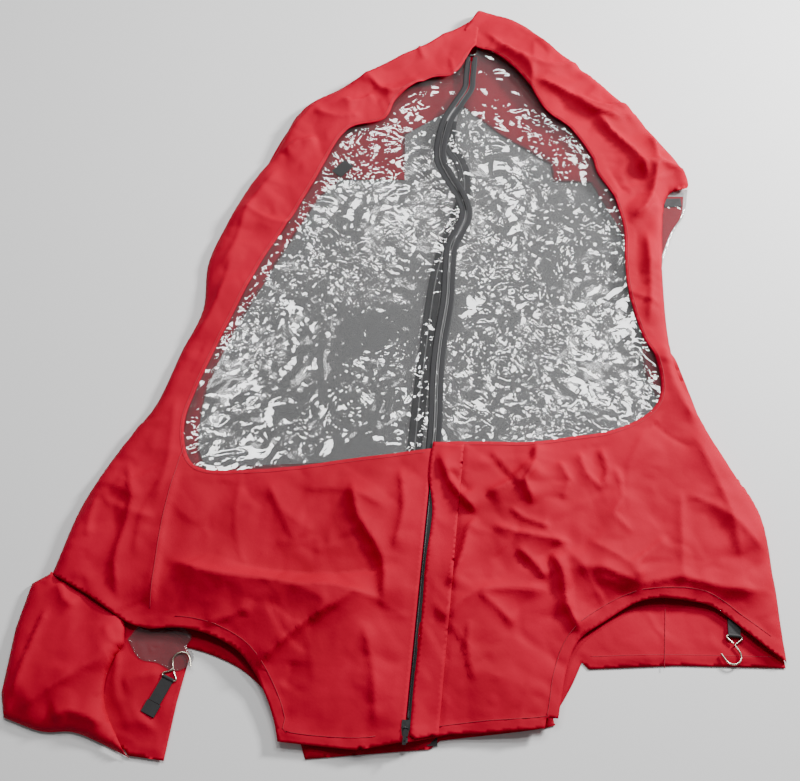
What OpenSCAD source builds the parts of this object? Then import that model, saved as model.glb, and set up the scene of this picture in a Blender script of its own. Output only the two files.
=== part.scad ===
/* [Cloth] */
// Thickness that each coated-fabric panel is drawn at
fabric_t = 1.6; // [1.2:0.1:1.8]
// Thickness that each clear film window is drawn at
film_t = 1.2; // [0.8:0.1:1.2]
// Height of the front layer's film above the floor
front_z = 18.4; // [18:0.1:20]
// How far a film laps behind the fabric round its window
film_lap = 12; // [6:1:12]
// Height of the gathered roof fabric above the floor
roof_h = 42; // [34:1:46]
// Gap along each line where a door folds
fold_gap = 1; // [0.6:0.1:1.5]

/* [Arches] */
// Radius of both wheel arches
arch_r = 195; // [190:1:197]

/* [Zips] */
// Width of one zip tape
tape_w = 14; // [12:1:15]
// Thickness of a zip tape
tape_t = 0.8; // [0.6:0.1:0.9]
// Height of a zip coil
coil_h = 2.4; // [2:0.1:2.6]
// Width of one zip coil
coil_w = 2.2; // [1.8:0.1:2.4]
// Length of a zip slider
slider_l = 24; // [20:1:26]
// Width of a zip slider
slider_w = 13; // [11:1:14]

/* [Hooks] */
// Radius of the hook wire
wire_r = 1.4; // [1.2:0.1:1.5]
// Radius of the hook's bend at the middle of the wire
hook_r = 13.5; // [12:0.5:14]
// Width of the elastic strap
strap_w = 19; // [16:1:20]

/* [Storm flap] */
// Width of the storm flap
flap_w = 46; // [40:1:50]

/* [Hidden] */
$fn = 48;

// Colours
RED = "#c81e2c";
FILM = [0.75, 0.77, 0.78, 0.45];
BLACK = "#1c1c1e";
STEEL = "#c9c3b4";

// Heights of the stacked layers, from the floor up
rear_film_z = fabric_t;
rear_tape_z = rear_film_z + film_t;
side_z = rear_tape_z;                 // lower layer of each folded side gusset
front_fabric_z = front_z + film_t;
front_top_z = front_fabric_z + fabric_t;
front_tape_z = front_z - tape_t;
front_coil_z = front_z - tape_t / 2;  // middle of the front zip's coils
rear_coil_z = rear_tape_z + tape_t / 2;
strap_z = side_z + fabric_t + 3.4;    // middle of the hooks' eye bars

// Zip lines, both parallel to Y
zip_x = 25;
rear_zip_x = -5;
zip_edge = 11;                        // from a zip's centre to the cloth beside it
coil_gap = 1.4;                       // from a zip's centre to each coil
zip_top = 658;                        // upper end of the front zip's tapes and coils
door_top = 672;                       // where both doors' fold lines meet the zip
pin_l = 10;                           // length of the pins at the foot of each tape
zip_bottom = -716;                    // lower end of the front zip's tapes
rear_zip_top = 500;
rear_zip_bottom = -725;

// Seams between the front and the side gussets
left_seam = -395;
right_seam = 445;
left_arch = [-360, -815];
right_arch = [445, -690];
seam_points = [[left_seam, -400], [-427, -330], [-441, -230], [-431, -130]];
left_fold_end = [left_seam, -625];
right_fold_end = [right_seam, -495];

hem_low = -900;                       // below every hem, for cutting shapes
edge_wall = 4;                        // thickness of the edge where front and rear meet

front_outline = [
  [35, 819], [125, 790], [215, 710], [310, 605], [385, 515], [415, 450], [438, 375], [438, 290],
  [428, 170], [434, 40], [442, -20], [right_seam, -130], [right_seam, -690], [258, -693], [165, -701],
  [90, -728], [25, -752], [-45, -771], [-165, -771], [left_seam, -771], each seam_points,
  [-428, -15], [-441, 90], [-420, 195], [-392, 287], [-355, 370], [-321, 486], [-246, 560],
  [-129, 660], [-48, 727]
];

window_outline = [
  [25, 690], [-5, 600], [-55, 550], [-140, 495], [-220, 435], [-240, 355], [-257, 263], [-295, 185],
  [-335, 93], [-377, -64], [-410, -224], [-407, -283], [-389, -328], [-360, -344], [-250, -330],
  [-150, -307], [-30, -276], [25, -262], [25, -249], [140, -235], [243, -218], [347, -194],
  [399, -153], [421, -107], [409, -46], [383, 15], [361, 101], [355, 170], [345, 276], [305, 347],
  [242, 458], [178, 533], [110, 625], [42, 688]
];

rear_outline = [
  [30, 760], [130, 740], [250, 640], [350, 520], [428, 400], [428, 170], [434, 40], [440, -20],
  [450, -130], [450, -593], [305, -608], [292, -605], [262, -660], [230, -700], [79, -741],
  [65, -755], [-122, -789], [-140, -755], [-165, -745], [-205, -715], [-245, -680], [-286, -652],
  [-330, -640], [-400, -640], [-425, -300], [-440, -150], [-430, -15], [-440, 90], [-392, 270],
  [-330, 470], [-220, 560], [-100, 660]
];

rear_window_outline = [
  [10, 548], [-97, 454], [-85, 335], [-216, 322], [-253, 267], [-329, 42], [-375, -95], [-391, -201],
  [-385, -280], [-366, -332], [390, -200], [412, -117], [386, -58], [387, 28], [353, 231],
  [288, 369], [213, 362], [206, 405], [99, 474]
];

left_gusset_outline = [
  [-474, -220], [-505, -283], [-539, -363], [-563, -439], [-577, -560], [-450, -606],
  [left_seam - fold_gap, -628], for (p = seam_points) [p[0] - fold_gap, p[1]]
];

left_foot_outline = [
  [-578, -556], [-603, -631], [-604, -742], [-590, -775], [-526, -792], [-448, -796], [-397, -817],
  [-332, -819], [-332, -728], [-326, -660], [-345, -645], [left_seam - fold_gap, -640],
  [left_seam - fold_gap, -560]
];

left_flap_outline = [
  [-613, -566], [-540, -566], [-450, -606], [-437, -646], [-455, -700], [-446, -740], [-397, -815],
  [-448, -798], [-526, -795], [-593, -780], [-606, -742], [-603, -631]
];

right_gusset_outline = [
  [right_seam + fold_gap, -60], [487, -140], [535, -232], [585, -320], [600, -422], [606, -505],
  [613, -576], [right_seam + fold_gap, -592]
];

left_roof_outline = [
  [-28, 735], [-129, 655], [-246, 555], [-318, 482], [-352, 368], [-300, 372], [-262, 460],
  [-190, 520], [-90, 600], [-20, 690]
];

right_roof_outline = [
  [110, 785], [212, 705], [308, 600], [383, 512], [413, 448], [484, 378], [482, 318], [432, 300],
  [400, 380], [350, 460], [270, 560], [180, 650], [95, 740]
];

// A flat sheet of the given thickness, from height z
module sheet(z, t) { translate([0, 0, z]) linear_extrude(t) children(); }

// A shape less both wheel arches
module arched() {
  difference() {
    children();
    translate(left_arch) circle(arch_r, $fn = 96);
    translate(right_arch) circle(arch_r, $fn = 96);
  }
}

// Everything on the door side of a fold line, or about g outside it
module left_door_side(g = 0) {
  polygon([[zip_x, door_top + 3.3 * g], left_fold_end - [1.1 * g, 0],
           [left_fold_end[0] - 1.1 * g, hem_low], [zip_x, hem_low]]);
}
module right_door_side(g = 0) {
  polygon([[zip_x, door_top + 3.3 * g], right_fold_end + [1.1 * g, 0],
           [right_fold_end[0] + 1.1 * g, hem_low], [zip_x, hem_low]]);
}
// A strip beside a zip line, from low y to high y
module strip(x, w, low, high) { translate([x, low]) square([w, high - low]); }
module zip_slot() { strip(zip_x - zip_edge, 2 * zip_edge, hem_low, door_top + 8); }

module front_shape() { arched() polygon(front_outline); }
module film_shape() { intersection() { offset(delta = film_lap) polygon(window_outline); polygon(front_outline); } }
module left_half() { strip(-700, 700 + zip_x, hem_low, 900); }
module right_half() { strip(zip_x, 700, hem_low, 900); }

// The fixed front fabric of one half, and its edge turned down to the rear panel
module border(side) {
  color(RED) {
    sheet(front_fabric_z, fabric_t)
      difference() {
        intersection() {
          front_shape();
          if (side < 0) left_half(); else right_half();
        }
        polygon(window_outline);
        left_door_side(fold_gap);
        right_door_side(fold_gap);
        zip_slot();
      }
    sheet(fabric_t, front_fabric_z - fabric_t)
      difference() {
        polygon(rear_outline);
        offset(delta = -edge_wall) polygon(rear_outline);
        if (side < 0) right_half(); else left_half();
        strip(-700, 1400, hem_low, side < 0 ? -125 : -55);
      }
  }
}
module left_border() { border(-1); }
module right_border() { border(1); }

module left_window_margin() {
  color(FILM) sheet(front_z, film_t)
    difference() { intersection() { film_shape(); left_half(); } left_door_side(fold_gap); zip_slot(); }
}
module right_window_margin() {
  color(FILM) sheet(front_z, film_t)
    difference() { intersection() { film_shape(); right_half(); } right_door_side(fold_gap); zip_slot(); }
}

module left_door_panel() {
  color(RED) sheet(front_fabric_z, fabric_t)
    difference() { intersection() { front_shape(); left_door_side(); } polygon(window_outline); zip_slot(); }
}
module right_door_panel() {
  color(RED) sheet(front_fabric_z, fabric_t)
    difference() { intersection() { front_shape(); right_door_side(); } polygon(window_outline); zip_slot(); }
}
module left_window() {
  color(FILM) sheet(front_z, film_t)
    difference() { intersection() { film_shape(); left_door_side(); } zip_slot(); }
}
module right_window() {
  color(FILM) sheet(front_z, film_t)
    difference() { intersection() { film_shape(); right_door_side(); } zip_slot(); }
}

module rear_panel() {
  color(RED) sheet(0, fabric_t)
    difference() {
      polygon(rear_outline);
      polygon(rear_window_outline);
      strip(rear_zip_x - zip_edge, 2 * zip_edge, hem_low, 540);
    }
}
module rear_film(side) {
  color(FILM) sheet(rear_film_z, film_t)
    intersection() {
      difference() {
        offset(delta = film_lap) polygon(rear_window_outline);
        strip(rear_zip_x - zip_edge, 2 * zip_edge, hem_low, 530);
      }
      if (side < 0) strip(-700, 700 + rear_zip_x, hem_low, 900); else strip(rear_zip_x, 700, hem_low, 900);
    }
}
module rear_window_left() { rear_film(-1); }
module rear_window_right() { rear_film(1); }
module rear_hem_tab() {
  color(BLACK) sheet(fabric_t, 2) translate([60, -752]) rotate(8) square([16, 40]);
}

// One tape beside a zip line: side is -1 on the left and 1 on the right
module tape(x, side, z, low, high) {
  outer = coil_gap + coil_w / 2;
  color(BLACK) sheet(z, tape_t)
    strip(side < 0 ? x - outer - tape_w : x + outer, tape_w, low, high);
}
module coil(x, side, z, low, high) {
  color(BLACK) sheet(z - coil_h / 2, coil_h)
    strip(side < 0 ? x - coil_gap - coil_w : x + coil_gap, coil_w, low, high);
}
// Tape with its coil let in, so that the two are separate solids
module tape_only(x, side, z, low, high) {
  difference() { tape(x, side, z, low, high); coil(x, side, z + tape_t / 2, low - 1, high + 1); }
}
module rear_zip_tape_left() { tape_only(rear_zip_x, -1, rear_tape_z, rear_zip_bottom, rear_zip_top); }
module rear_zip_tape_right() { tape_only(rear_zip_x, 1, rear_tape_z, rear_zip_bottom, rear_zip_top); }
module rear_zip_coils() {
  for (side = [-1, 1]) coil(rear_zip_x, side, rear_coil_z, rear_zip_bottom, rear_zip_top);
}
// Each front tape ends at its door's fold line
module left_zip_tape() {
  intersection() { tape_only(zip_x, -1, front_tape_z, zip_bottom, zip_top); sheet(0, roof_h) left_door_side(); }
}
module right_zip_tape() {
  intersection() { tape_only(zip_x, 1, front_tape_z, zip_bottom, zip_top); sheet(0, roof_h) right_door_side(); }
}
module left_zip_coil() { coil(zip_x, -1, front_coil_z, zip_bottom + pin_l, zip_top); }
module right_zip_coil() { coil(zip_x, 1, front_coil_z, zip_bottom + pin_l, zip_top); }
module zip_pin(side) { coil(zip_x, side, front_coil_z, zip_bottom, zip_bottom + pin_l); }
module left_zip_pin() { zip_pin(-1); }
module right_zip_pin() { zip_pin(1); }
module zip_retainer_box() {
  color(BLACK) sheet(front_coil_z - coil_h / 2, coil_h) strip(zip_x - 5, 10, -753, -746);
}
module zip_top_stop() {
  color(BLACK) sheet(front_coil_z - 1.6, 3.2) strip(zip_x - 5, 10, door_top + 2, door_top + 7);
}

// Two plates joined by a thin post that runs between the coils, with a bail for the pull
plate_t = 1.4;
channel = coil_h / 2 + 0.5;
bail_r = 1;
bail_z = channel + plate_t + 2.2;
module slider(x, y, z) {
  translate([x, y, z]) color(BLACK) {
    for (s = [-1, 1])
      translate([0, 0, s * (channel + plate_t / 2) - plate_t / 2]) linear_extrude(plate_t)
        polygon([[-slider_w / 2, slider_l / 2], [slider_w / 2, slider_l / 2], [slider_w / 2, 0],
                 [slider_w / 3, -slider_l / 2], [-slider_w / 3, -slider_l / 2], [-slider_w / 2, 0]]);
    translate([-0.9, -slider_l / 2, -channel - plate_t]) cube([1.8, slider_l, 2 * (channel + plate_t)]);
    for (s = [-1, 1])
      translate([s * 3.6 - 0.6, -2, channel + plate_t]) cube([1.2, 4, bail_z - channel - plate_t]);
    translate([-4.2, 0, bail_z]) rotate([0, 90, 0]) cylinder(r = bail_r, h = 8.4);
  }
}
// A pull tab that hangs from the bail, towards the hem
module pull(x, y, z) {
  translate([x, y, z + bail_z]) color(BLACK)
    difference() {
      union() {
        rotate([0, 90, 0]) translate([0, 0, -2.7]) cylinder(r = bail_r + 0.9, h = 5.4);
        translate([-2.7, -25, -0.6]) cube([5.4, 25, 1.2]);
      }
      rotate([0, 90, 0]) translate([0, 0, -4]) cylinder(r = bail_r + 0.05, h = 8);
      translate([0, -20, -2]) cylinder(r = 1.5, h = 4);
    }
}
slider_y = -732;
rear_slider_y = 462;
module front_zip_slider() { slider(zip_x, slider_y, front_coil_z); }
module front_zip_pull() { pull(zip_x, slider_y, front_coil_z); }
module rear_zip_slider() { slider(rear_zip_x, rear_slider_y, rear_coil_z); }
module rear_zip_pull() { pull(rear_zip_x, rear_slider_y, rear_coil_z); }

module storm_flap() {
  color(RED) sheet(front_top_z + 0.3, fabric_t)
    difference() {
      strip(zip_x + 8, flap_w, -745, -255);
      translate([zip_x + 8, -745]) rotate(-20) translate([-10, -40]) square([90, 40]);
    }
}

// A side gusset folded flat: an upper and a lower layer, joined by the fold along the outer edge
module gusset(outline, shift) {
  sheet(front_fabric_z, fabric_t) arched() polygon(outline);
  sheet(side_z, fabric_t) polygon(outline);
  sheet(side_z, front_top_z - side_z)
    arched() difference() { polygon(outline); translate([shift, 0]) polygon(outline); }
}
module left_side_gusset() {
  color(RED) {
    gusset(left_gusset_outline, 4);
    sheet(side_z, fabric_t) polygon(left_foot_outline);
  }
}
module right_side_gusset() { color(RED) gusset(right_gusset_outline, -4); }
module beyond_gusset() { difference() { children(); offset(delta = 1) polygon(left_gusset_outline); } }
module left_side_flap() {
  color(RED) {
    sheet(12, fabric_t) beyond_gusset() polygon(left_flap_outline);
    sheet(side_z + fabric_t, 12 - side_z - fabric_t)
      intersection() {
        beyond_gusset()
          difference() { polygon(left_flap_outline); translate([5, 5]) polygon(left_flap_outline); }
        polygon(left_foot_outline);
      }
  }
}

module apex_patch() {
  color(RED) sheet(front_top_z, fabric_t)
    polygon([[-24, 733], [34, 815], [96, 790], [80, 738], [52, 700], [40, 690], [12, 690]]);
}
module roof_gusset(outline) {
  color(RED) sheet(front_top_z, roof_h - front_top_z) polygon(outline);
}
module left_roof_gusset() { roof_gusset(left_roof_outline); }
module right_roof_gusset() { roof_gusset(right_roof_outline); }

module left_side_window() {
  color(FILM) sheet(side_z + fabric_t, film_t)
    beyond_gusset()
      polygon([[-428, -641], [-400, -600], [-345, -608], [-330, -628], [-326, -648], [-342, -668],
               [-362, -674], [-395, -656]]);
}
module right_side_window() {
  color(FILM) sheet(side_z, film_t)
    polygon([[430, 345], [430, 184], [452, 226], [484, 316], [484, 345]]);
}
module left_tie_tab() {
  color(BLACK) sheet(front_z - 2, 2) translate([-232, 330]) rotate(-35) square([24, 38]);
}
module right_tie_tab() {
  color(BLACK) sheet(side_z + film_t, 2) translate([436, 318]) rotate(8) square([34, 20]);
}

// Hooks: each strap's middle, with its hook lying at the angle given
right_hook_at = [532, -534];
left_hook_at = [-352, -694];
left_hook_turn = 160;
strap_l = 40;
eye_l = 15;

module at_hook(place, turn) { translate([place[0], place[1], strap_z]) rotate(turn) children(); }
function arc(c, r, a, b, n) =
  [for (i = [0:n]) c + r * [cos(a + (b - a) * i / n), sin(a + (b - a) * i / n)]];
function heading(path, i) =
  let (d = path[min(i + 1, len(path) - 1)] - path[max(i - 1, 0)]) d / norm(d);
// A round wire that follows a flat path, with its ends cut square
module wire(path) {
  sides = 12;
  last = len(path) - 1;
  ring = [for (k = [0:sides - 1]) k];
  rim = [for (i = [0:last]) for (k = ring)
    let (h = heading(path, i), a = 360 * k / sides)
    [path[i][0] - wire_r * cos(a) * h[1], path[i][1] + wire_r * cos(a) * h[0], wire_r * sin(a)]];
  walls = [for (i = [0:last - 1]) for (k = ring)
    let (n = (k + 1) % sides)
    [i * sides + k, (i + 1) * sides + k, (i + 1) * sides + n, i * sides + n]];
  cap = [for (k = ring) last * sides + sides - 1 - k];
  polyhedron(points = rim, faces = concat([ring], walls, [cap]));
}
// A bent wire hook: an eye with a bar along X, a shank below it and an open bend
module hook() {
  half = strap_w / 2 + 2.5;
  corner = 3;
  bend = [-4, -eye_l - 17.5];
  apex = [0, -eye_l];
  start = atan2(apex[1] - bend[1], apex[0] - bend[0]) - acos(hook_r / norm(apex - bend));
  tip = -143;
  color(STEEL) wire([
    [-2.4, 2.4 - eye_l],
    each arc([corner - half, -corner], corner, 220, 90, 5),
    each arc([half - corner, -corner], corner, 90, -40, 5),
    apex,
    each arc(bend, hook_r, start, tip, 24),
    bend + hook_r * [cos(tip), sin(tip)] + 12 * [sin(tip), -cos(tip)]
  ]);
}
// An elastic strap doubled round the eye bar
module strap() {
  loop_r = wire_r + 1.7;
  color(BLACK) difference() {
    union() {
      rotate([0, 90, 0]) translate([0, 0, -strap_w / 2]) cylinder(r = loop_r, h = strap_w);
      translate([-strap_w / 2, 0, -1.6]) cube([strap_w, strap_l, 3.2]);
    }
    rotate([0, 90, 0]) translate([0, 0, -strap_w]) cylinder(r = wire_r + 0.4, h = 2 * strap_w);
  }
}
module patch() {
  color(BLACK) translate([-strap_w / 2 - 2, strap_l + 0.6, -3.4]) cube([strap_w + 4, 20, 5]);
}
module left_hook_strap() { at_hook(left_hook_at, left_hook_turn) strap(); }
module right_hook_strap() { at_hook(right_hook_at, 0) strap(); }
module left_hook() { at_hook(left_hook_at, left_hook_turn) hook(); }
module right_hook() { at_hook(right_hook_at, 0) hook(); }
module left_strap_patch() { at_hook(left_hook_at, left_hook_turn) patch(); }
module right_strap_patch() { at_hook(right_hook_at, 0) patch(); }

rear_panel();
rear_window_left();
rear_window_right();
rear_zip_tape_left();
rear_zip_tape_right();
rear_zip_coils();
rear_zip_slider();
rear_zip_pull();
rear_hem_tab();
left_border();
right_border();
left_window_margin();
right_window_margin();
apex_patch();
left_roof_gusset();
right_roof_gusset();
left_side_gusset();
right_side_gusset();
left_side_flap();
left_side_window();
right_side_window();
left_tie_tab();
right_tie_tab();
zip_top_stop();
left_door_panel();
left_window();
left_zip_tape();
left_zip_coil();
left_zip_pin();
right_door_panel();
right_window();
right_zip_tape();
right_zip_coil();
right_zip_pin();
zip_retainer_box();
storm_flap();
front_zip_slider();
front_zip_pull();
left_strap_patch();
right_strap_patch();
left_hook_strap();
right_hook_strap();
left_hook();
right_hook();
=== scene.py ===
import math
import bpy
import numpy as np
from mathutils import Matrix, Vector
from mathutils.geometry import delaunay_2d_cdt


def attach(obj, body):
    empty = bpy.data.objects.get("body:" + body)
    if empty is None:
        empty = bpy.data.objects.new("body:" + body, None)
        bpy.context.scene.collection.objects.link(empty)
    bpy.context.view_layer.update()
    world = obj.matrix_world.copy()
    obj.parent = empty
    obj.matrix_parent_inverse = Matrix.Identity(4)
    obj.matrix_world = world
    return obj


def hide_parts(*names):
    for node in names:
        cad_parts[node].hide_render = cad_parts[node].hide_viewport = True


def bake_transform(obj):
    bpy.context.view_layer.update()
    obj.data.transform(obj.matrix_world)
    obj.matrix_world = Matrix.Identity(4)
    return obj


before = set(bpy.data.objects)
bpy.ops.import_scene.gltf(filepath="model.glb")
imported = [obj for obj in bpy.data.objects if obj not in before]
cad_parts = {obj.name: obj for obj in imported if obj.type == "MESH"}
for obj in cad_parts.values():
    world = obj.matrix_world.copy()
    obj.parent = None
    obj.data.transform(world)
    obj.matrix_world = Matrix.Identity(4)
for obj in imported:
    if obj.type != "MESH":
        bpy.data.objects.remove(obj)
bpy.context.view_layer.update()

# Lengths in this script are millimetres in the row frame until a mesh is made.
MM = 0.001

# Spacing of the meshes' points, and thickness of each kind of sheet
CLOTH_STEP = 5
FILM_STEP = 5
SMALL_FILM_STEP = 4
CLOTH_T = 0.5
FILM_T = 0.3

# Heights above the floor: the front layer, its limits and the level that its rims turn down to
FRONT_Z = 20
FRONT_LOWEST = 9
FRONT_HIGHEST = 47
RIM_Z = 2.6
ROOF_RISE = 7
HEM_DROP = 7
REAR_Z = 1.2
ZIP_FILM_Z = 17.6

# Hems and stitching
HEM_W = 18
HEM_T = 0.8
WINDOW_SEAM = 6
FILM_LAP = 9
STITCH_R = 0.55

# Creases: how strongly and how widely each fold in the lists below is drawn
FOLD_GAIN = 1.9
FOLD_SPREAD = 0.85
FOLD_STEP = 25

# Zips: coils, tapes and their levels
COIL_R = 1.1
COIL_OFFSET = 2.1
COIL_SWELL = 0.28
TAPE_INNER = 2.6
TAPE_T = 0.7
FRONT_TAPE = (13, 18.3)
FRONT_COIL_Z = 18
REAR_TAPE = (12.5, 3.8)
REAR_COIL_Z = 3.2


# ---------------------------------------------------------------- plane geometry
def line(*points, step=CLOTH_STEP):
    """A straight-sided path, with points added along it."""
    out = [points[0]]
    for a, b in zip(points, points[1:]):
        n = max(1, int(math.dist(a, b) / step))
        out += [(a[0] + (b[0] - a[0]) * i / n, a[1] + (b[1] - a[1]) * i / n) for i in range(1, n + 1)]
    return np.array(out, float)


def curve(*points, step=CLOTH_STEP):
    """A smooth path through the points."""
    p = np.array(points, float)
    p = np.vstack([2 * p[0] - p[1], p, 2 * p[-1] - p[-2]])
    out = [p[1:2]]
    for a, b, c, d in zip(p, p[1:], p[2:], p[3:]):
        n = max(1, int(np.linalg.norm(c - b) / step))
        t = np.linspace(0, 1, n + 1)[1:, None]
        square = (2 * a - 5 * b + 4 * c - d) * t**2
        cube = (3 * b - a - 3 * c + d) * t**3
        out.append(0.5 * (2 * b + (c - a) * t + square + cube))
    return np.vstack(out)


def loop(*runs):
    """One closed outline from paths that meet end to end."""
    out = np.vstack(runs)
    keep = np.linalg.norm(out - np.roll(out, 1, axis=0), axis=1) > 1
    return out[keep]


def beside(path, offset):
    """The path moved sideways, to its left for a positive offset."""
    d = np.gradient(path, axis=0)
    d /= np.linalg.norm(d, axis=1)[:, None]
    return path + offset * np.column_stack([-d[:, 1], d[:, 0]])


def along(path, x, y):
    """Each point's distance to a path, its side (1 on the path's left) and its place along it, 0 to 1."""
    a, b = path[:-1], path[1:]
    d = b - a
    long = (d**2).sum(1)
    ends = np.concatenate([[0], np.cumsum(np.sqrt(long))])
    best, side, place = np.full(len(x), 1e9), np.ones(len(x)), np.zeros(len(x))
    for i in range(len(a)):
        px, py = x - a[i, 0], y - a[i, 1]
        t = np.clip((px * d[i, 0] + py * d[i, 1]) / long[i], 0, 1)
        far = np.hypot(px - t * d[i, 0], py - t * d[i, 1])
        near = far < best
        best[near] = far[near]
        side[near] = np.sign(d[i, 0] * py - d[i, 1] * px)[near]
        place[near] = ((ends[i] + t * math.sqrt(long[i])) / ends[-1])[near]
    return best, side, place


def closed(outline):
    """The outline as a path that comes back to its first point."""
    return np.vstack([outline, outline[:1]])


def inside(outline, x, y):
    """Which points lie inside a closed outline."""
    hit = np.zeros(len(x), bool)
    for (ax, ay), (bx, by) in zip(outline, np.roll(outline, -1, axis=0)):
        if ay == by:
            continue
        over = (ay > y) != (by > y)
        hit ^= over & (x < (bx - ax) * (y - ay) / (by - ay) + ax)
    return hit


def ease(t):
    """A smooth step from 0 to 1."""
    t = np.clip(t, 0, 1)
    return t * t * (3 - 2 * t)


# ---------------------------------------------------------------- wrinkles
def noise(x, y, size, seed):
    """Smooth noise from -1 to 1 with features of about the given size."""
    rng = np.random.default_rng(seed)
    turn = rng.uniform(0, 2 * math.pi, (64, 64))
    u, v = x / size + 31.7 * seed, y / size + 17.3 * seed
    i, j = np.floor(u).astype(int), np.floor(v).astype(int)
    fu, fv = u - i, v - j

    def corner(di, dj):
        a = turn[(i + di) % 64, (j + dj) % 64]
        return np.cos(a) * (fu - di) + np.sin(a) * (fv - dj)

    su, sv = (t**3 * (t * (6 * t - 15) + 10) for t in (fu, fv))
    low = corner(0, 0) * (1 - su) + corner(1, 0) * su
    high = corner(0, 1) * (1 - su) + corner(1, 1) * su
    return 1.6 * (low * (1 - sv) + high * sv)


def crumple(x, y, size, seed):
    """Creased noise: soft facets that meet in sharp lines, from 0 to about 1."""
    wx = x + 0.5 * size * noise(x, y, 1.7 * size, seed + 1)
    wy = y + 0.5 * size * noise(x, y, 1.7 * size, seed + 2)
    return np.abs(noise(wx, wy, size, seed))


def fold(x, y, points, height, left, right):
    """A crease along the points: height at its crest, falling off over the width on each side."""
    path = curve(*points, step=FOLD_STEP)
    far, side, place = along(path, x, y)
    width = np.where(side > 0, left, right)
    ends = ease(place / 0.18) * ease((1 - place) / 0.18)
    return FOLD_GAIN * height * np.exp(-far / (FOLD_SPREAD * width)) * ends


def all_folds(x, y, folds):
    """The sum of a list of folds, each (points, height, width on the left, width on the right)."""
    z = np.zeros(len(x))
    for points, height, left, right in folds:
        z += fold(x, y, points, height, left, right)
    return z


def creases(x, y, count, box, seed, height=2.6):
    """Short random creases in a box (x0, y0, x1, y1)."""
    rng = np.random.default_rng(seed)
    z = np.zeros(len(x))
    for _ in range(count):
        cx, cy = rng.uniform(box[0], box[2]), rng.uniform(box[1], box[3])
        turn, half = rng.uniform(0, math.pi), rng.uniform(20, 100)
        bow = rng.uniform(-0.25, 0.25) * half
        c, s = math.cos(turn), math.sin(turn)
        first = (cx - c * half, cy - s * half)
        middle = (cx - s * bow, cy + c * bow)
        last = (cx + c * half, cy + s * half)
        points = [first, middle, last]
        left, right = rng.uniform(3, 9), rng.uniform(8, 40)
        z += fold(x, y, points, rng.uniform(-0.6, 1) * height, left, right)
    return z


# ---------------------------------------------------------------- meshes
def plain_mesh(name, points, faces, material, slot):
    """An object from points in millimetres and faces, with its material; the slot is not used."""
    data = bpy.data.meshes.new(name)
    data.from_pydata([tuple(p) for p in np.asarray(points) * MM], [], faces)
    data.validate()
    data.shade_smooth()
    piece = bpy.data.objects.new(name, data)
    bpy.context.scene.collection.objects.link(piece)
    data.materials.append(material)
    return piece


def scattered(loops, step, seed):
    """The outlines' own points, then a slightly uneven grid of points inside them."""
    outline = loops[0]
    low, high = outline.min(0), outline.max(0)
    gx, gy = np.meshgrid(np.arange(low[0], high[0], step), np.arange(low[1], high[1], step * 0.866))
    gx = gx + 0.5 * step * (np.arange(gx.shape[0]) % 2)[:, None]
    rng = np.random.default_rng(seed)
    gx, gy = (g.ravel() + rng.uniform(-0.12, 0.12, g.size) * step for g in (gx, gy))
    keep = inside(outline, gx, gy)
    for edge in loops:
        far, _, _ = along(closed(edge), gx, gy)
        keep &= far > 0.6 * step
    for hole in loops[1:]:
        keep &= ~inside(hole, gx, gy)
    return np.vstack([*loops, np.column_stack([gx[keep], gy[keep]])])


def triangulated(loops, step, seed):
    """Flat points and triangles that fill an outline (the first loop) around its holes (the others)."""
    points = scattered(loops, step, seed)
    edges, first = [], 0
    for edge in loops:
        n = len(edge)
        edges += [(first + i, first + (i + 1) % n) for i in range(n)]
        first += n
    flat, _, faces, *_ = delaunay_2d_cdt([Vector(p) for p in points], edges, [], 0, 1e-3)
    flat = np.array([tuple(p) for p in flat])
    faces = np.array([f for f in faces if len(f) == 3])
    mid = flat[faces].mean(1)
    good = inside(loops[0], mid[:, 0], mid[:, 1])
    for hole in loops[1:]:
        good &= ~inside(hole, mid[:, 0], mid[:, 1])
    faces = faces[good]
    used = np.unique(faces)
    place = np.full(len(flat), -1)
    place[used] = np.arange(len(used))
    return flat[used], place[faces]


def cloth(name, outline, height, material, slot, step=CLOTH_STEP, thickness=CLOTH_T, hole=None, seed=1):
    """A sheet cut to an outline, with its height worked out from x, y and the distance to its edge."""
    loops = [outline] if hole is None else [outline, hole]
    flat, faces = triangulated(loops, step, seed)
    x, y = flat[:, 0], flat[:, 1]
    far = np.full(len(flat), 1e9)
    for edge in loops:
        far = np.minimum(far, along(closed(edge), x, y)[0])
    z = height(x, y, far)
    piece = plain_mesh(name, np.column_stack([flat, z]), faces.tolist(), material, slot)
    shell = piece.modifiers.new("thickness", "SOLIDIFY")
    shell.thickness = thickness * MM
    shell.offset = 1
    return piece


def film_sheet(name, outline, height, **settings):
    """A piece of clear film."""
    return cloth(name, outline, height, FILM, "clear_film", thickness=FILM_T, **settings)


def red_cloth(name, outline, height, **settings):
    """A piece of the red cloth."""
    return cloth(name, outline, height, RED, "red_fabric", **settings)


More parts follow.
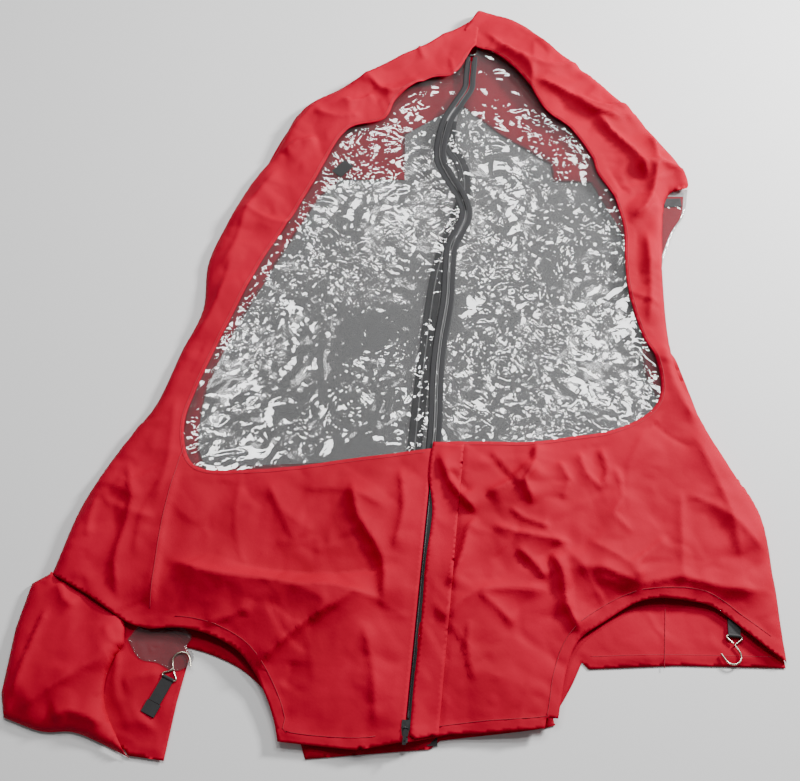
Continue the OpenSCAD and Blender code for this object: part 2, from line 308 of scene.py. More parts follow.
def tube(path, radius, sides=8, swell=0.0):
    """Points and faces of a tube along a 3-D path; swell makes every other ring that much thicker."""
    path = np.asarray(path, float)
    d = np.gradient(path, axis=0)
    d /= np.linalg.norm(d, axis=1)[:, None]
    up = np.array([0, 0, 1.0])
    across = np.cross(d, up)
    across /= np.maximum(np.linalg.norm(across, axis=1), 1e-6)[:, None]
    lift = np.cross(across, d)
    r = radius * (1 + swell * (np.arange(len(path)) % 2))
    a = np.linspace(0, 2 * math.pi, sides, endpoint=False)
    ring = path[:, None] + r[:, None, None] * (
        np.cos(a)[None, :, None] * across[:, None] + np.sin(a)[None, :, None] * lift[:, None]
    )
    faces = []
    for i in range(len(path) - 1):
        for k in range(sides):
            n = (k + 1) % sides
            faces.append((i * sides + k, i * sides + n, (i + 1) * sides + n, (i + 1) * sides + k))
    last = (len(path) - 1) * sides
    faces.append(tuple(range(sides - 1, -1, -1)))
    faces.append(tuple(last + k for k in range(sides)))
    return ring.reshape(-1, 3), faces


# ---------------------------------------------------------------- materials
def new_material(name, colour, roughness, **sockets):
    """A material with one Principled node, and that node."""
    made = bpy.data.materials.new(name)
    made.use_nodes = True
    shader = made.node_tree.nodes["Principled BSDF"]
    shader.inputs["Base Color"].default_value = (*colour, 1)
    shader.inputs["Roughness"].default_value = roughness
    for socket, value in sockets.items():
        shader.inputs[socket].default_value = value
    return made, shader


def node(made, kind, links=(), **values):
    """Adds a node. links are (input, other node, its output); the rest are its settings or its inputs."""
    n = made.node_tree.nodes.new(kind)
    for key, value in values.items():
        if hasattr(n, key):
            setattr(n, key, value)
        else:
            n.inputs[key.replace("_", " ")].default_value = value
    for socket, other, output in links:
        made.node_tree.links.new(other.outputs[output], n.inputs[socket])
    return n


def pattern(made, kind, place, **values):
    """A texture laid over the object's own coordinates."""
    return node(made, kind, [("Vector", place, "Object")], **values)


def bump(made, height, output, strength, distance, under=None):
    """A bump from a height node, on top of the bump under it. The distance is in millimetres."""
    links = [("Height", height, output)]
    if under is not None:
        links.append(("Normal", under, 0))
    return node(made, "ShaderNodeBump", links, Strength=strength, Distance=distance * MM)


def finish_normal(made, shader, last):
    """Gives the shader its last bump."""
    made.node_tree.links.new(last.outputs[0], shader.inputs["Normal"])


def mixed(made, shader, factor, low, high):
    """Base colour that runs from low to high with a factor node's output."""
    ramp = node(made, "ShaderNodeValToRGB", [(0, *factor)])
    ramp.color_ramp.elements[0].color = (*low, 1)
    ramp.color_ramp.elements[1].color = (*high, 1)
    ramp.color_ramp.elements[0].position = 0.3
    ramp.color_ramp.elements[1].position = 0.7
    made.node_tree.links.new(ramp.outputs[0], shader.inputs["Base Color"])


def woven(name, low, high, roughness, pitch, depth, rumples=(), **sockets):
    """Plain-woven cloth: crossing yarns, uneven dye, and rumples of (scale, depth) under the weave."""
    made, shader = new_material(name, high, roughness, **sockets)
    place = node(made, "ShaderNodeTexCoord")
    under = None
    for scale, distance in rumples:
        ridge = pattern(made, "ShaderNodeTexNoise", place, noise_type="RIDGED_MULTIFRACTAL",
                        Scale=scale, Detail=1.5, Roughness=0.4, Distortion=0.5)
        under = bump(made, ridge, "Fac", 0.6, distance, under)
    yarns = [pattern(made, "ShaderNodeTexWave", place, bands_direction=direction,
                     Scale=0.314 / (pitch * MM), Distortion=0.6, Detail=1.0) for direction in ("X", "Y")]
    weave = node(made, "ShaderNodeMath", [(0, yarns[0], "Fac"), (1, yarns[1], "Fac")], operation="MAXIMUM")
    small = pattern(made, "ShaderNodeTexNoise", place, Scale=42.0, Detail=4.0, Roughness=0.6)
    first = bump(made, weave, 0, 0.35, depth, under)
    second = bump(made, small, "Fac", 0.5, 1.2, first)
    finish_normal(made, shader, second)
    dye = pattern(made, "ShaderNodeTexNoise", place, Scale=5.0, Detail=5.0, Roughness=0.55)
    mixed(made, shader, (dye, "Fac"), low, high)
    return made


def crinkled_film(name, colour, alpha):
    """Clear film: a plain tint and alpha, with fine sharp creases that come and go in patches."""
    made, shader = new_material(name, colour, 0.06, Alpha=alpha, IOR=2.4)
    place = node(made, "ShaderNodeTexCoord")
    calm = pattern(made, "ShaderNodeTexNoise", place, Scale=6.5, Detail=2.0)
    patch = node(made, "ShaderNodeMapRange", [("Value", calm, "Fac")],
                 From_Min=0.40, From_Max=0.60, To_Min=0.12, To_Max=1.0)
    under = None
    for scale, distance in ((22.0, 6.5), (62.0, 2.2)):
        ridge = pattern(made, "ShaderNodeTexNoise", place, noise_type="RIDGED_MULTIFRACTAL",
                        Scale=scale, Detail=2.0, Roughness=0.5, Distortion=0.8)
        crease = node(made, "ShaderNodeMath", [(0, ridge, "Fac"), (1, patch, 0)], operation="MULTIPLY")
        under = bump(made, crease, 0, 0.55, distance, under)
    finish_normal(made, shader, under)
    return made


def speckled(name, low, high, roughness, scale, depth, **sockets):
    """Moulded plastic, enamel or plated wire: small uneven patches and a fine grain."""
    made, shader = new_material(name, high, roughness, **sockets)
    place = node(made, "ShaderNodeTexCoord")
    grain = pattern(made, "ShaderNodeTexNoise", place, Scale=scale, Detail=5.0)
    finish_normal(made, shader, bump(made, grain, "Fac", 0.3, depth))
    mixed(made, shader, (grain, "Fac"), low, high)
    return made


RED = woven("red_cloth", (0.36, 0.0, 0.016), (0.47, 0.0, 0.024), 0.7, 0.9, 0.12,
            rumples=((7.0, 22.0), (19.0, 5.0)), **{"Specular IOR Level": 0.1})
FILM = crinkled_film("clear_film", (0.09, 0.091, 0.093), 0.28)
TAPE = woven("zip_tape", (0.010, 0.010, 0.012), (0.020, 0.020, 0.022), 0.75, 0.6, 0.1)
WEBBING = woven("webbing", (0.008, 0.008, 0.009), (0.022, 0.022, 0.024), 0.7, 1.2, 0.25)
NYLON = speckled("zip_nylon", (0.012, 0.012, 0.013), (0.022, 0.022, 0.024), 0.4, 300.0, 0.05)
ENAMEL = speckled("slider_enamel", (0.014, 0.014, 0.015), (0.035, 0.035, 0.036), 0.3, 220.0, 0.05,
                  Metallic=0.4)
ZINC = speckled("hook_zinc", (0.42, 0.36, 0.26), (0.72, 0.68, 0.58), 0.24, 260.0, 0.04, Metallic=1.0)
THREAD = speckled("red_thread", (0.26, 0.0, 0.012), (0.36, 0.0, 0.02), 0.7, 500.0, 0.05)

# ---------------------------------------------------------------- lines of the cover
FRONT_ZIP = curve((25, -752), (25, -600), (25, -420), (25, -240), (19, -120), (19, -44), (24, 44), (22, 110),
                  (22, 170), (34, 205), (44, 250), (30, 295), (0, 345), (-20, 395), (-14, 480), (6, 535),
                  (24, 580), (25, 610), (25, 672), step=4)
REAR_ZIP = curve((-5, -735), (-5, -400), (-8, -200), (-6, -35), (-2, 90), (6, 160), (22, 235), (36, 300),
                 (34, 352), (20, 395), (-2, 430), (-5, 462), (-5, 500), step=4)

# The window's edge on each side, anticlockwise round the window
WINDOW_LEFT = curve((25, 690), (-8, 612), (-60, 592), (-120, 530), (-142, 472), (-208, 440), (-240, 375),
                    (-262, 300), (-300, 190), (-338, 90), (-378, -64), (-406, -190), (-412, -262),
                    (-394, -322), (-360, -342), (-290, -336), (-200, -320), (-110, -296), (-30, -276),
                    (24, -262))
WINDOW_RIGHT = curve((26, -250), (110, -240), (195, -232), (265, -214), (330, -196), (390, -160), (418, -115),
                     (412, -50), (384, 15), (362, 95), (355, 170), (352, 250), (330, 325), (300, 375),
                     (285, 420), (240, 488), (190, 528), (150, 595), (112, 645), (70, 680), (34, 694))

# Stretches of the front cloth's outer edge that are used more than once
LEFT_ARCH = [(-166, -771), (-178, -738), (-196, -704), (-222, -668), (-254, -640), (-300, -622), (-345, -616),
             (-396, -622)]
LEFT_SIDE = [(-578, -548), (-562, -440), (-538, -362), (-505, -285), (-474, -220), (-452, -110), (-430, -15),
             (-440, 90), (-420, 195), (-392, 287), (-356, 368), (-322, 484)]
LEFT_ROOF = [(-322, 484), (-246, 558), (-129, 658), (-48, 727), (36, 812)]


def zip_edge(zip_line, offset, low, high):
    """The part of a zip's line between two values of y, moved sideways."""
    side = beside(zip_line, -offset)
    return side[(zip_line[:, 1] > low) & (zip_line[:, 1] < high)]


LEFT_OUTLINE = loop(
    line((36, 812), (32, 700)),
    WINDOW_LEFT,
    zip_edge(FRONT_ZIP, -1, -748, -264)[::-1],
    line((22, -753), (-45, -771), (-166, -771)),
    curve(*LEFT_ARCH),
    curve((-396, -622), (-425, -618), (-450, -608), (-505, -580), (-578, -548)),
    curve(*LEFT_SIDE),
    curve(*LEFT_ROOF),
)
RIGHT_OUTLINE = loop(
    WINDOW_RIGHT,
    line((34, 694), (22, 700), (4, 742), (36, 819)),
    curve((36, 819), (78, 806), (125, 790), (168, 750), (214, 708), (312, 612), (385, 530), (412, 500)),
    curve((412, 500), (442, 452), (484, 385)),
    curve((484, 385), (478, 364), (446, 352), (432, 300), (428, 170), (434, 40), (442, -20)),
    curve((442, -20), (487, -140), (535, -232), (585, -320), (600, -422), (606, -505), (613, -568)),
    curve((613, -568), (590, -556), (545, -524), (520, -505), (492, -490), (440, -486), (400, -490),
          (366, -504), (320, -538), (292, -560), (276, -584), (266, -620), (260, -660), (256, -693)),
    line((256, -693), (238, -694), (236, -710), (135, -728), (92, -733), (28, -753)),
    zip_edge(FRONT_ZIP, 3, -748, -252),
)


def base(y):
    """Height of the front layer, which rises towards the gathered roof."""
    return FRONT_Z + ease((y - 250) / 350) * ROOF_RISE


def rolled(z, far, floor, reach=26):
    """Brings a sheet down in a round edge as it nears a fold at its rim."""
    t = np.clip(far / reach, 0, 1)
    return floor + (z - floor) * np.sqrt(1 - (1 - t) ** 2)


def hem_band(far):
    """The doubled cloth of a hem, at a distance from the edge."""
    return HEM_T * (1 - ease((far - HEM_W) / 2.5))


# Where the front cloth turns down at its rims, and its hems
LEFT_RIM = curve(*LEFT_SIDE, *LEFT_ROOF[1:], step=14)
RIGHT_RIM = curve((36, 819), (125, 790), (214, 708), (312, 612), (412, 500), (484, 385), (446, 352),
                  (432, 300), (428, 170), (442, -20), (487, -140), (535, -232), (585, -320), (600, -422),
                  (613, -568), step=14)
FRONT_HEM_LEFT = curve((22, -753), (-45, -771), *LEFT_ARCH, step=12)
FRONT_HEM_RIGHT = curve((613, -568), (545, -524), (492, -490), (440, -486), (366, -504), (292, -560),
                        (266, -620), (256, -693), (236, -710), (135, -728), (28, -753), step=12)

# Folds: points, height, and the width that each falls off over on its left and on its right
LEFT_FOLDS = [
    ([(-405, -330), (-410, -430), (-405, -525), (-400, -600)], 3.5, 5, 28),
    ([(-395, -505), (-320, -525), (-235, -527), (-155, -532), (-85, -530), (-20, -545)], 14, 18, 60),
    ([(-300, -500), (-200, -508), (-100, -500), (0, -470)], -5, 30, 16),
    ([(-80, -535), (-160, -600), (-225, -672)], 7, 7, 46),
    ([(-310, -607), (-270, -592), (-240, -572)], 2.5, 10, 6),
    ([(-240, -565), (-244, -590)], 1.8, 5, 8),
    ([(-110, -330), (-90, -400), (-40, -470), (-30, -560)], 7, 34, 12),
    ([(-30, -300), (-15, -380), (-25, -460)], 4, 18, 8),
    ([(-60, -575), (-35, -650), (-20, -740)], 3.5, 30, 12),
    ([(-250, -345), (-220, -400), (-150, -440)], 3, 20, 50),
    ([(-545, -400), (-480, -430), (-420, -440)], 3, 14, 30),
    ([(-500, -330), (-470, -420), (-475, -520), (-450, -590)], 4, 24, 10),
    ([(-440, -200), (-425, -330), (-430, -430)], 3, 18, 24),
    ([(-90, 672), (-75, 645)], 3, 6, 8),
    ([(-232, 518), (-218, 502), (-168, 532)], 5, 10, 16),
    ([(-270, 405), (-310, 390), (-340, 362)], 4.5, 16, 8),
    ([(-400, 225), (-325, 190), (-275, 196)], 3.5, 8, 22),
    ([(-200, 588), (-135, 540), (-65, 590)], 6, 18, 12),
    ([(-292, 478), (-240, 462), (-190, 478)], 4, 12, 12),
    ([(-20, 760), (-60, 690), (-150, 620), (-230, 545)], 7, 16, 22),
    ([(-420, 60), (-395, 120), (-380, 230), (-330, 330)], 4, 14, 26),
    ([(-430, -90), (-405, 0), (-392, 110)], 3, 12, 22),
]
RIGHT_FOLDS = [
    ([(30, -262), (60, -325), (100, -366), (112, -378)], 7, 26, 6),
    ([(112, -378), (96, -402), (90, -445), (72, -512)], 5.5, 18, 9),
    ([(55, -300), (95, -340)], -4, 10, 16),
    ([(120, -342), (168, -306), (198, -266)], 6, 8, 24),
    ([(202, -228), (200, -275), (184, -312), (202, -352)], 6, 20, 6),
    ([(132, -392), (175, -400), (220, -406), (272, -412)], 5.5, 7, 22),
    ([(160, -356), (186, -375), (235, -388)], 3.5, 12, 8),
    ([(176, -426), (205, -450), (230, -480)], 4.5, 16, 6),
    ([(230, -425), (254, -465), (262, -515), (290, -562)], 7.5, 32, 9),
    ([(255, -455), (320, -452), (380, -470), (440, -452), (520, -462), (605, -460)], 7, 36, 16),
    ([(450, -290), (450, -395), (450, -470)], 3, 8, 20),
    ([(50, -562), (80, -545), (120, -508), (245, -492)], 6, 34, 18),
    ([(118, -508), (150, -530), (185, -558)], 3.5, 14, 12),
    ([(290, -402), (365, -440), (382, -472)], 4, 18, 22),
    ([(380, -470), (374, -435), (428, -382)], 3, 10, 16),
    ([(240, -262), (262, -300), (250, -340)], 3.2, 6, 14),
    ([(275, -240), (290, -282), (322, -312)], 3.2, 5, 12),
    ([(310, -228), (325, -270), (318, -310)], 3, 12, 5),
    ([(340, -262), (352, -318), (338, -352), (372, -385)], 3, 6, 14),
    ([(470, -180), (520, -300), (548, -420)], 6, 40, 20),
    ([(450, -300), (520, -330), (590, -400)], 3.5, 22, 16),
    ([(45, 748), (120, 668), (205, 648), (285, 682)], 7, 14, 20),
    ([(72, 694), (135, 668), (162, 600)], 6, 12, 14),
    ([(150, 612), (225, 578), (290, 528), (360, 514)], 9, 20, 10),
    ([(240, 578), (300, 540), (386, 556), (408, 508)], 6, 8, 18),
    ([(290, 528), (325, 478), (380, 418), (398, 360)], 9, 18, 12),
    ([(250, 655), (330, 590), (412, 508)], 6, 12, 24),
    ([(396, 505), (416, 438), (405, 318), (358, 255)], 8, 12, 20),
    ([(372, 396), (430, 404), (486, 388)], 8, 12, 12),
    ([(418, 330), (428, 240), (430, 150)], 5, 12, 16),
    ([(395, 250), (402, 120), (398, 20)], 5, 16, 12),
    ([(425, 0), (440, -80), (480, -170)], 5, 16, 22),
    ([(160, 740), (200, 700), (270, 660)], 4, 10, 14),
]


def front_height(x, y, folds, rim, hem, window, box, seed):
    """Height of the front cloth: folds and rumples, held flat by the zip and turned down at the rims."""
    z = base(y)
    z = z + 3.2 * noise(x, y, 210, seed) + 1.8 * noise(x, y, 95, seed + 3)
    right_door = ease((x - 60) / 120) * ease((-240 - y) / 60)
    lively = 0.55 + 0.45 * ease((y + 100) / 300) + 0.35 * right_door
    z += lively * (6 * crumple(x, y, 130, seed + 5) + 3 * crumple(x, y, 52, seed + 9) - 3)
    z += all_folds(x, y, folds)
    z += creases(x, y, 90, box, seed + 20)
    to_hem, _, _ = along(hem, x, y)
    to_zip, _, _ = along(FRONT_ZIP[::6], x, y)
    z -= (1 - ease(to_hem / 90)) * HEM_DROP * ease(to_zip / 60)
    z += (FRONT_Z - 0.5 - z) * (1 - ease(to_zip / 26)) * (y < 700)
    to_window, _, _ = along(window, x, y)
    z = np.where(to_window < 22, np.maximum(z, base(y) - 1), z)
    to_rim, _, _ = along(rim, x, y)
    z = rolled(np.clip(z, FRONT_LOWEST, FRONT_HIGHEST), to_rim, RIM_Z)
    return z + hem_band(to_hem)


def left_height(x, y, far):
    """The left front cloth."""
    box = (-560, -760, 20, 760)
    return front_height(x, y, LEFT_FOLDS, LEFT_RIM, FRONT_HEM_LEFT, WINDOW_LEFT[::3], box, 4)


def right_level(x, y):
    """The top of the right front cloth, with no room made for the storm flap."""
    box = (20, -740, 600, 780)
    return front_height(x, y, RIGHT_FOLDS, RIGHT_RIM, FRONT_HEM_RIGHT, WINDOW_RIGHT[::3], box, 11)


def right_height(x, y, far):
    """The right front cloth, which sinks a little where the storm flap lies on it."""
    under = ease((x - 24) / 4) * ease((82 - x) / 4) * ease((-254 - y) / 4)
    return right_level(x, y) - 2 * under


def door_blend(piece):
    """Bakes a piece's placement into its mesh; the piece is not bent."""
    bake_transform(piece)


front_left = red_cloth("front_cloth_left", LEFT_OUTLINE, left_height, seed=2)
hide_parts("left_border", "left_door_panel", "left_roof_gusset")
door_blend(front_left)
front_right = red_cloth("front_cloth_right", RIGHT_OUTLINE, right_height, seed=3)
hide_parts("right_border", "right_door_panel", "right_roof_gusset", "apex_patch")
door_blend(front_right)


# ---------------------------------------------------------------- films
def film_height(x, y, far, level, depth, seed, flat_edge=16):
    """A film that sags by a depth away from its edge, with ripples and crumples inside a flat margin."""
    calm = ease(far / flat_edge) * (0.35 + 0.65 * ease(0.5 + 1.6 * noise(x, y, 170, seed + 7)))
    z = level - depth * ease(far / 90)
    ripple = 2.6 * noise(x, y, 120, seed) + 3.0 * crumple(x, y, 44, seed + 2)
    ripple += 1.7 * crumple(x, y, 20, seed + 4)
    return z + calm * (ripple - 1.4)


FILM_LEFT = loop(beside(WINDOW_LEFT, -FILM_LAP), zip_edge(FRONT_ZIP, -4, -266, 668))
FILM_RIGHT = loop(beside(WINDOW_RIGHT, -FILM_LAP), zip_edge(FRONT_ZIP, 4, -256, 668)[::-1])


def front_film_height(x, y, far):
    """The front film, which sags in the middle and is held level beside the zip."""
    to_zip, _, _ = along(FRONT_ZIP[::6], x, y)
    z = film_height(x, y, far, 18, 3.5, 31)
    near = 1 - ease(to_zip / 22)
    return np.clip(z, 10.5, 22) * (1 - near) + ZIP_FILM_Z * near


for side, word, outline in ((-1, "left", FILM_LEFT), (1, "right", FILM_RIGHT)):
    film = film_sheet(f"front_film_{word}", outline, front_film_height, step=FILM_STEP, seed=5 + side)
    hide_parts(f"{word}_window_margin", f"{word}_window")
    door_blend(film)

REAR_WINDOW = loop(
    line((10, 548), (-97, 454), (-85, 335), (-216, 322), (-253, 267)),
    curve((-253, 267), (-295, 150), (-332, 42), (-375, -95), (-392, -201), (-386, -285), (-366, -332)),
    line((-366, -332), (-9, -277), (-9, -745), (-1, -745), (-1, -275), (392, -205)),
    curve((392, -205), (414, -117), (392, -58), (387, 28), (353, 231), (290, 366)),
    line((290, 366), (213, 362), (206, 405), (99, 474), (10, 548)),
)
REAR_OUTLINE = loop(
    curve((30, 790), (130, 760), (260, 640), (360, 525), (420, 400), (424, 170), (428, 40), (440, -40),
          (480, -140), (528, -235), (575, -320), (592, -422), (600, -505), (612, -576)),
    line((612, -576), (440, -590), (303, -610), (292, -600)),
    curve((292, -600), (276, -640), (250, -690), (240, -706), (79, -742)),
    line((79, -742), (65, -756), (-122, -790), (-134, -764), (-150, -752)),
    curve((-150, -752), (-172, -728), (-200, -696), (-240, -668), (-290, -650), (-340, -642), (-400, -644)),
    curve((-400, -644), (-440, -560), (-440, -400), (-440, -150), (-424, -15), (-432, 90), (-384, 280),
          (-325, 470), (-220, 556), (-100, 660), (30, 790)),
)


def rear_height(x, y, far):
    """The rear layer, nearly flat on the floor, with a seam up its right side."""
    z = REAR_Z + 1.6 * (1 + noise(x, y, 130, 61)) + 1.2 * crumple(x, y, 60, 63)
    to_seam, _, _ = along(line((424, -480), (421, -600)), x, y)
    z += 1.1 * np.exp(-to_seam / 2.5)
    return REAR_Z + (np.clip(z, 1, 6) - REAR_Z) * ease(far / 14) + 0.5 * hem_band(far)


rear = red_cloth("rear_cloth", REAR_OUTLINE, rear_height, hole=REAR_WINDOW, seed=8)
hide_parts("rear_panel", "right_side_gusset")
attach(rear, "cover")


def rear_film_height(x, y, far):
    """The rear film, just above the floor."""
    return np.clip(film_height(x, y, far, 2.4, -0.6, 71), 1.6, 8)


REAR_FILM_LEFT = loop(
    line((-7, 556), (-105, 462), (-95, 345), (-222, 332), (-262, 270), step=FILM_STEP),
    curve((-262, 270), (-304, 150), (-341, 42), (-384, -95), (-401, -201), (-395, -288), (-370, -344)),
    line((-370, -344), (-14, -276)),
    zip_edge(REAR_ZIP, -12, -270, 500),
)
REAR_FILM_RIGHT = loop(
    zip_edge(REAR_ZIP, 12, -270, 500)[::-1],
    line((6, -272), (398, -214)),
    curve((398, -214), (423, -117), (401, -58), (396, 28), (362, 233), (296, 375)),
    line((296, 375), (222, 371), (214, 412), (103, 483), (8, 556)),
)
for word, outline in (("left", REAR_FILM_LEFT), ("right", REAR_FILM_RIGHT)):
    film = film_sheet(f"rear_film_{word}", outline, rear_film_height, step=FILM_STEP + 1, seed=9)
    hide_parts(f"rear_window_{word}")
    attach(film, "cover")


# ---------------------------------------------------------------- left foot, its flap, small clear pieces
FOOT = loop(
    line((-345, -628), (-326, -655), (-332, -728), (-334, -815), (-390, -813), (-395, -806)),
    curve((-395, -806), (-450, -789), (-528, -784), (-584, -770)),
    line((-584, -770), (-594, -700), (-572, -560), (-450, -590), (-400, -600), (-345, -628)),
)
FOOT_FOLDS = [
    ([(-440, -650), (-424, -730), (-345, -778)], 3, 8, 14),
    ([(-425, -708), (-365, -684)], 2.5, 6, 14),
    ([(-400, -690), (-398, -780)], 2, 10, 20),
]


def foot_height(x, y, far):
    """The left gusset's foot, which lies on the floor."""
    z = 5 + 2 * noise(x, y, 110, 81) + 1.6 * crumple(x, y, 60, 83)
    z += all_folds(x, y, FOOT_FOLDS)
    return 3.2 + (np.clip(z, 3.4, 10) - 3.2) * ease(far / 20) + 0.6 * hem_band(far)


foot = red_cloth("left_foot_cloth", FOOT, foot_height, seed=12)
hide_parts("left_side_gusset")
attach(foot, "cover")

FLAP = loop(
    curve((-578, -545), (-556, -552), (-500, -578), (-447, -603), (-432, -648)),
    curve((-432, -648), (-442, -668), (-448, -712), (-436, -752), (-398, -806), (-386, -816)),
    curve((-386, -816), (-436, -799), (-482, -788), (-530, -792), (-592, -778)),
    line((-592, -778), (-606, -742), (-612, -640), (-606, -566), (-578, -545)),
)
FLAP_FOLDS = [
    ([(-432, -652), (-500, -708), (-575, -772)], 7, 16, 42),
    ([(-566, -600), (-578, -680), (-586, -752)], 3, 9, 4),
    ([(-560, -560), (-540, -590), (-520, -600)], 4, 8, 18),
    ([(-520, -775), (-490, -760), (-430, -775)], 5, 22, 12),
    ([(-470, -620), (-448, -650), (-440, -700)], 3, 12, 16),
]


def flap_height(x, y, far):
    """The flap turned over the foot: open along its inner edge, turned down along the others."""
    z = 15 + 3 * noise(x, y, 140, 91) + 2 * crumple(x, y, 70, 93)
    z += all_folds(x, y, FLAP_FOLDS)
    free = curve((-578, -545), (-500, -578), (-447, -603), (-432, -648), (-448, -712), (-398, -806))
    to_free, _, _ = along(free, x, y)
    edge = np.where(to_free < far + 3, 11.5, 4.5)
    t = np.clip(far / 24, 0, 1)
    return edge + (np.clip(z, 12, 30) - edge) * np.sqrt(1 - (1 - t) ** 2)


flap = red_cloth("left_side_flap_cloth", FLAP, flap_height, seed=13)
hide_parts("left_side_flap")
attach(flap, "cover")

CLEAR_TAB = curve((-430, -640), (-405, -668), (-375, -672), (-345, -682), (-322, -668), (-320, -652),
                  (-334, -642), (-330, -622), (-370, -606), (-410, -612), (-430, -640))[:-1]
SHOULDER = loop(line((428, 362), (482, 366)), curve((482, 366), (474, 305), (450, 252), (428, 176)),
                line((428, 176), (416, 260), (428, 362)))


def tab_height(x, y, far):
    """The clear piece that sticks out into the left arch."""
    return np.clip(film_height(x, y, far, 6.4, -1, 95, 8), 4.6, 9.5)


def shoulder_height(x, y, far):
    """The clear piece at the right shoulder."""
    return np.clip(film_height(x, y, far, 5, -3, 97, 8), 3.4, 11)


def lining_height(x, y, far):
    """The red cloth under the clear piece at the right shoulder."""
    return 2.4 + 1.2 * ease(far / 12)


tab = film_sheet("left_clear_tab", CLEAR_TAB, tab_height, step=SMALL_FILM_STEP)
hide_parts("left_side_window")
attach(tab, "cover")
patch = film_sheet("right_clear_side", SHOULDER, shoulder_height, step=SMALL_FILM_STEP)
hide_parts("right_side_window")
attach(patch, "cover")

SHOULDER_CLOTH = loop(line((424, 345), (474, 350)), curve((474, 350), (468, 300), (446, 255), (426, 190)),
                      line((426, 190), (410, 260), (424, 345)))
lining = red_cloth("right_shoulder_lining", SHOULDER_CLOTH, lining_height)
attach(lining, "cover")


# ---------------------------------------------------------------- lines of stitching
def seam(name, path, height, side):
    """A sewn line on a sheet; a side of 0 puts it on the cover body with the rear layer, and any other side
    only bakes its placement into its mesh.
    """
    far_from_edge = np.full(len(path), 20.0)
    z = height(path[:, 0], path[:, 1], far_from_edge) + STITCH_R
    piece = plain_mesh(name, *tube(np.column_stack([path, z]), STITCH_R, 6), THREAD, "red_fabric")
    if side:
        door_blend(piece)
    else:
        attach(piece, "cover")


for name, path, offset, height, side in (
    ("front_hem_left", FRONT_HEM_LEFT, -HEM_W, left_height, -1),
    ("front_hem_right", FRONT_HEM_RIGHT, -HEM_W, right_height, 1),
    ("window_seam_left", WINDOW_LEFT, -WINDOW_SEAM, left_height, -1),
    ("window_seam_right", WINDOW_RIGHT, -WINDOW_SEAM, right_height, 1),
):
    run = beside(path, offset)
    seam(f"{name}_stitches", run[3:-3], height, side)
seam("rear_hem_stitches", curve((305, -590), (440, -573), (600, -560)), rear_height, 0)
seam("rear_side_stitches", curve((424, -500), (421, -596)), rear_height, 0)
seam("left_side_stitches", curve((-405, -300), (-412, -430), (-407, -525), (-402, -590)), left_height, 0)

# ---------------------------------------------------------------- storm flap beside the front zip
FLAP_EDGE = curve((24, -250), (22, -310), (34, -380), (31, -470), (33, -560), (31, -660), (32, -742))
STORM = loop(FLAP_EDGE, line((32, -742), (40, -746), (76, -736)), line((76, -736), (78, -250)),
             line((78, -250), (24, -250)))


def storm_height(x, y, far):
    """The storm flap, which lies on the right front cloth and lifts a little towards its free edge."""
    return right_level(x, y) + 0.4 + 1.2 * ease((60 - x) / 25)


storm = red_cloth("storm_flap_cloth", STORM, storm_height, seed=14)
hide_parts("storm_flap")
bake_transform(storm)


# ---------------------------------------------------------------- zips
def ribbon(path, near, far_edge, level):
    """Points and faces of a thin flat tape beside a path, from one offset to another."""
    rows = []
    for offset in np.linspace(near, far_edge, 5):
        side = beside(path, offset)
        rows.append(np.column_stack([side, np.full(len(path), level)]))
    n, m = len(path), len(rows)
    top, low = np.vstack(rows), np.vstack(rows) - [0, 0, TAPE_T]
    points, faces = np.vstack([top, low]), []
    up = near < far_edge

    def quad(a, b, c, d):
        faces.append((a, b, c, d) if up else (d, c, b, a))

    for r in range(m - 1):
        for i in range(n - 1):
            a, b = r * n + i, (r + 1) * n + i
            quad(a, a + 1, b + 1, b)
            quad(b + n * m, b + 1 + n * m, a + 1 + n * m, a + n * m)
    for i in range(n - 1):
        a, b = i, (m - 1) * n + i
        quad(a + n * m, a + 1 + n * m, a + 1, a)
        quad(b, b + 1, b + 1 + n * m, b + n * m)
    for r in range(m - 1):
        a, b = r * n, (r + 1) * n
        quad(a, b, b + n * m, a + n * m)
        quad(b + n - 1, a + n - 1, a + n - 1 + n * m, b + n - 1 + n * m)
    return points, faces


def tape_piece(name, path, side, size, covered):
    """One tape of a zip; size is its outer edge's offset and its level."""
    width, level = size
    piece = plain_mesh(name, *ribbon(path, side * TAPE_INNER, side * width, level), TAPE, "zip_tape")
    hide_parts(covered)
    return piece


def coil_piece(name, path, side, level, covered):
    """One beaded coil of a zip."""
    fine = curve(*path[::4], step=1.5)
    middle = beside(fine, side * COIL_OFFSET)
    points = np.column_stack([middle, np.full(len(middle), level)])
    piece = plain_mesh(name, *tube(points, COIL_R, 8, COIL_SWELL), NYLON, "zip_plastic")
    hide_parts(covered)
    return piece


def above(path, low):
    """The part of a path above a value of y."""
    return path[path[:, 1] > low]


FRONT_TAPES = above(FRONT_ZIP, -744)
FRONT_COILS = above(FRONT_ZIP, -716)
REAR_LINE = above(REAR_ZIP, -725)
SIDES = ((1, "left"), (-1, "right"))
for side, word in SIDES:
    tape = tape_piece(f"front_zip_{word}_tape_cloth", FRONT_TAPES, side, FRONT_TAPE, f"{word}_zip_tape")
    door_blend(tape)
    coil = coil_piece(f"front_zip_{word}_teeth", FRONT_COILS, side, FRONT_COIL_Z, f"{word}_zip_coil")
    door_blend(coil)
for side, word in SIDES:
    tape = tape_piece(f"rear_zip_{word}_tape_cloth", REAR_LINE, side, REAR_TAPE, f"rear_zip_tape_{word}")
    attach(tape, "cover")
    coil = coil_piece(f"rear_zip_{word}_teeth", REAR_LINE, side, REAR_COIL_Z, "rear_zip_coils")
    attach(coil, "cover")

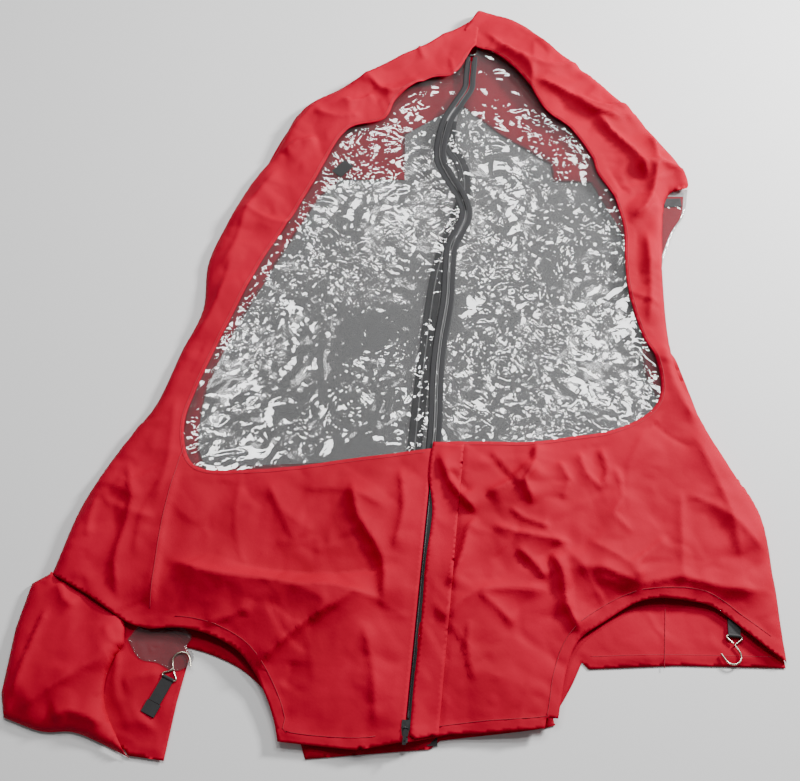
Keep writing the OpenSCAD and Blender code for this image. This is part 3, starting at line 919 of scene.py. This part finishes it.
# ---------------------------------------------------------------- carried-over nodes
FINISHES = {
    "left_hook": ZINC, "right_hook": ZINC,
    "left_hook_strap": WEBBING, "right_hook_strap": WEBBING,
    "left_strap_patch": WEBBING, "right_strap_patch": WEBBING,
    "left_tie_tab": WEBBING, "right_tie_tab": WEBBING, "rear_hem_tab": WEBBING,
    "front_zip_slider": ENAMEL, "front_zip_pull": ENAMEL, "rear_zip_slider": ENAMEL, "rear_zip_pull": ENAMEL,
    "left_zip_pin": NYLON, "right_zip_pin": NYLON, "zip_retainer_box": NYLON, "zip_top_stop": NYLON,
}
for name, finish in FINISHES.items():
    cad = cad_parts[name]
    cad.data.materials.clear()
    cad.data.materials.append(finish)

# ---------------------------------------------------------------- floor, light and camera
floor_data = bpy.data.meshes.new("floor")
floor_data.from_pydata([(-8, -8, 0), (8, -8, 0), (8, 8, 0), (-8, 8, 0)], [], [(0, 1, 2, 3)])
floor = bpy.data.objects.new("floor", floor_data)
bpy.context.scene.collection.objects.link(floor)
floor_material, _ = new_material("pale_floor", (0.80, 0.80, 0.80), 0.9)
floor_data.materials.append(floor_material)


def area_light(name, place, aim, size, power):
    """A rectangular lamp, in metres and watts."""
    data = bpy.data.lights.new(name, "AREA")
    data.shape = "RECTANGLE"
    data.size, data.size_y = size
    data.energy = power
    lamp = bpy.data.objects.new(name, data)
    lamp.location = place
    lamp.rotation_euler = (Vector(aim) - Vector(place)).to_track_quat("-Z", "Y").to_euler()
    bpy.context.scene.collection.objects.link(lamp)


area_light("key", (1.9, 1.2, 1.2), (0.05, 0, 0), (0.4, 0.4), 125)
for i, (x, y) in enumerate([(-0.1, 2.3), (0.9, 1.5), (-1.1, 1.3), (0.2, 0.6)]):
    area_light(f"ceiling_{i}", (x, y, 2.6), (0, 0, 0), (0.7, 0.3), 22)

world = bpy.data.worlds.new("studio")
bpy.context.scene.world = world
world.use_nodes = True
world.node_tree.nodes["Background"].inputs[0].default_value = (1, 1, 1, 1)
world.node_tree.nodes["Background"].inputs[1].default_value = 0.16

camera_data = bpy.data.cameras.new("camera")
camera_data.sensor_width = 36
camera_data.lens = 46.35
camera = bpy.data.objects.new("camera", camera_data)
camera.location = (0.046, -1.013, 1.642)
look = Vector((-0.0489, 0.4669, -0.8830)).normalized()
right = Vector((0.9946, 0.1041, 0)).normalized()
up = right.cross(look)
turn = camera.matrix_world.to_3x3()
for row in range(3):
    turn[row][0], turn[row][1], turn[row][2] = right[row], up[row], -look[row]
camera.rotation_euler = turn.to_euler()
bpy.context.scene.collection.objects.link(camera)
bpy.context.scene.camera = camera
